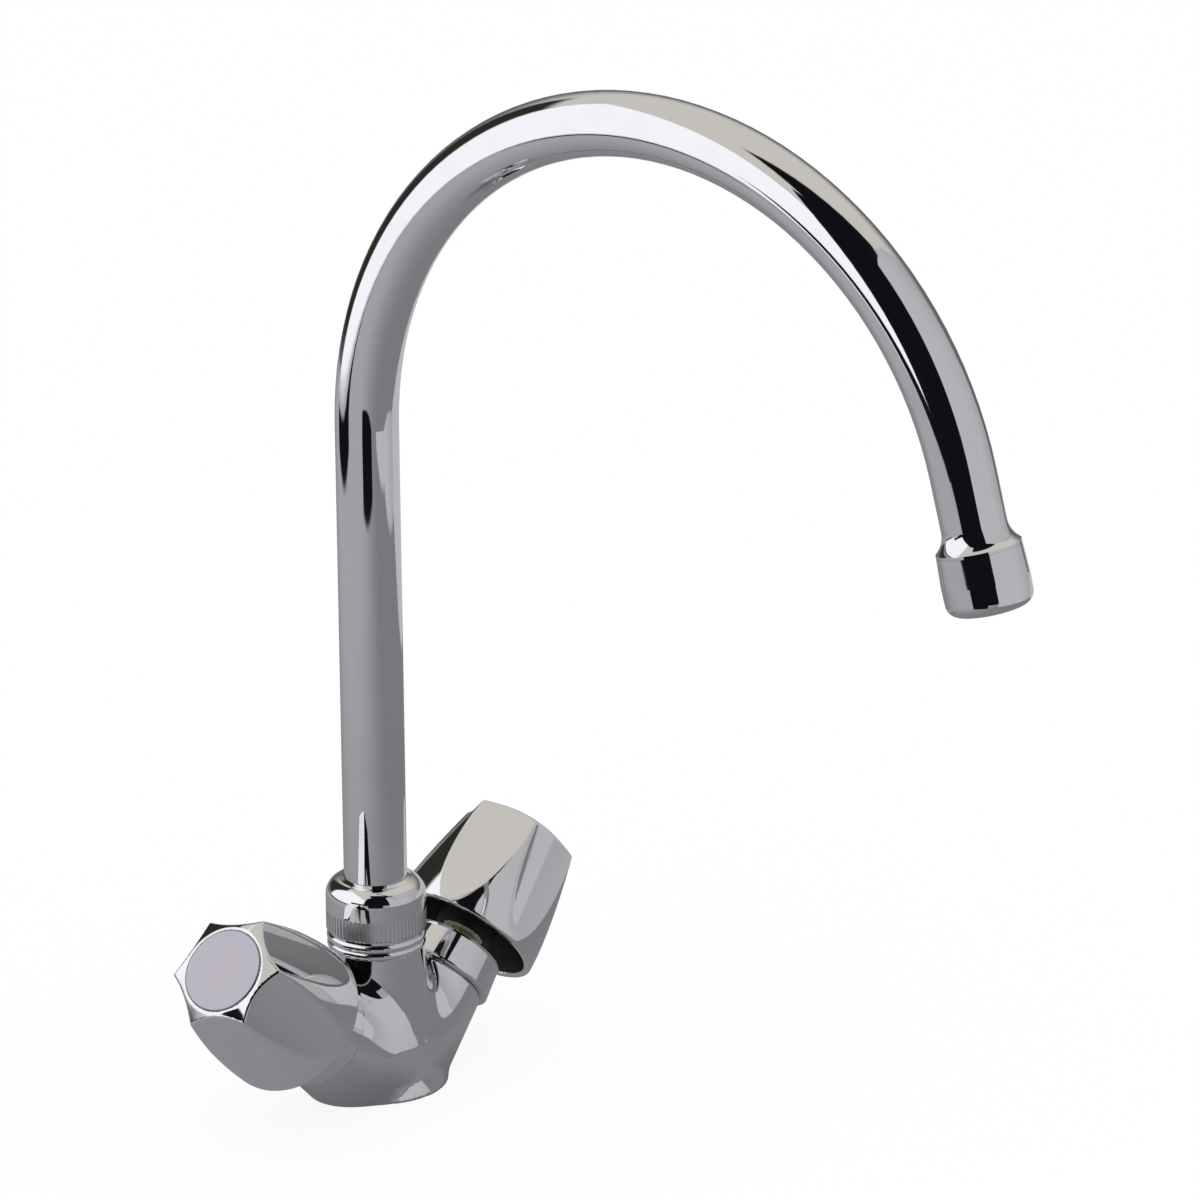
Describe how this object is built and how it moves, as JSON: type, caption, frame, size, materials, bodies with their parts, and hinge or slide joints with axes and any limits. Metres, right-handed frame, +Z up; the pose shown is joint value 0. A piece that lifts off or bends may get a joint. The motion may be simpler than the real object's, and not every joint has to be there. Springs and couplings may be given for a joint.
{
  "type": "kitchen faucet",
  "caption": "Deck-mounted kitchen mixer tap with hot and cold fluted knobs on raised arms and a tall swivelling swan-neck spout with an aerator.",
  "frame": {"origin": "centre of the base, on the deck that the faucet stands on", "axes": "+Z up, -Y forward along the spout at rest, -X towards the hot handle, +X towards the cold handle"},
  "size_m": [0.1534, 0.2475, 0.3119],
  "materials": {
    "bright_chrome": "mirror chrome plate on brass",
    "knob_chrome": "mirror chrome plate on a zinc casting",
    "index_face": "finely brushed disc with a thin coloured ring",
    "brass": "plain machined brass",
    "ceramic": "lapped alumina",
    "rubber": "black rubber",
    "plastic": "white acetal",
    "steel": "plain stainless steel"
  },
  "bodies": {
    "fixed_body": {"mixer_body": "bright_chrome", "base_seal": "rubber", "spout_nut": "bright_chrome", "swivel_washer": "plastic", "spout_retaining_ring": "plastic", "hot_seat_seal": "rubber", "hot_fixed_disc": "ceramic", "hot_headwork_body": "brass", "hot_shoulder_seal": "rubber", "hot_sleeve": "bright_chrome", "cold_seat_seal": "rubber", "cold_fixed_disc": "ceramic", "cold_headwork_body": "brass", "cold_shoulder_seal": "rubber", "cold_sleeve": "bright_chrome"},
    "spout": {"spout_tube": "bright_chrome", "spout_tail": "brass", "lower_spout_oring": "rubber", "upper_spout_oring": "rubber", "outlet_collar": "bright_chrome", "aerator_housing": "bright_chrome", "aerator_washer": "rubber", "aerator_screen": "steel", "aerator_insert": "plastic"},
    "hot_handle": {"hot_knob": "knob_chrome", "hot_index_cap": "index_face", "hot_knob_screw": "steel", "hot_knob_insert": "plastic", "hot_spindle": "brass", "hot_spindle_oring": "rubber", "hot_spindle_clip": "steel", "hot_moving_disc": "ceramic"},
    "cold_handle": {"cold_knob": "knob_chrome", "cold_index_cap": "index_face", "cold_knob_screw": "steel", "cold_knob_insert": "plastic", "cold_spindle": "brass", "cold_spindle_oring": "rubber", "cold_spindle_clip": "steel", "cold_moving_disc": "ceramic"}
  },
  "joints": [
    {"name": "spout_swivel", "type": "hinge", "parent": "fixed_body", "child": "spout", "pos_m": [0, 0, 0.05], "axis": [0, 0, 1], "continuous": true},
    {"name": "hot_handle_turn", "type": "hinge", "parent": "fixed_body", "child": "hot_handle", "pos_m": [0, 0, 0], "axis": [-0.7705, 0, 0.6374], "range_deg": [0, 90]},
    {"name": "cold_handle_turn", "type": "hinge", "parent": "fixed_body", "child": "cold_handle", "pos_m": [0, 0, 0], "axis": [0.7705, 0, 0.6374], "range_deg": [0, 90]}
  ]
}
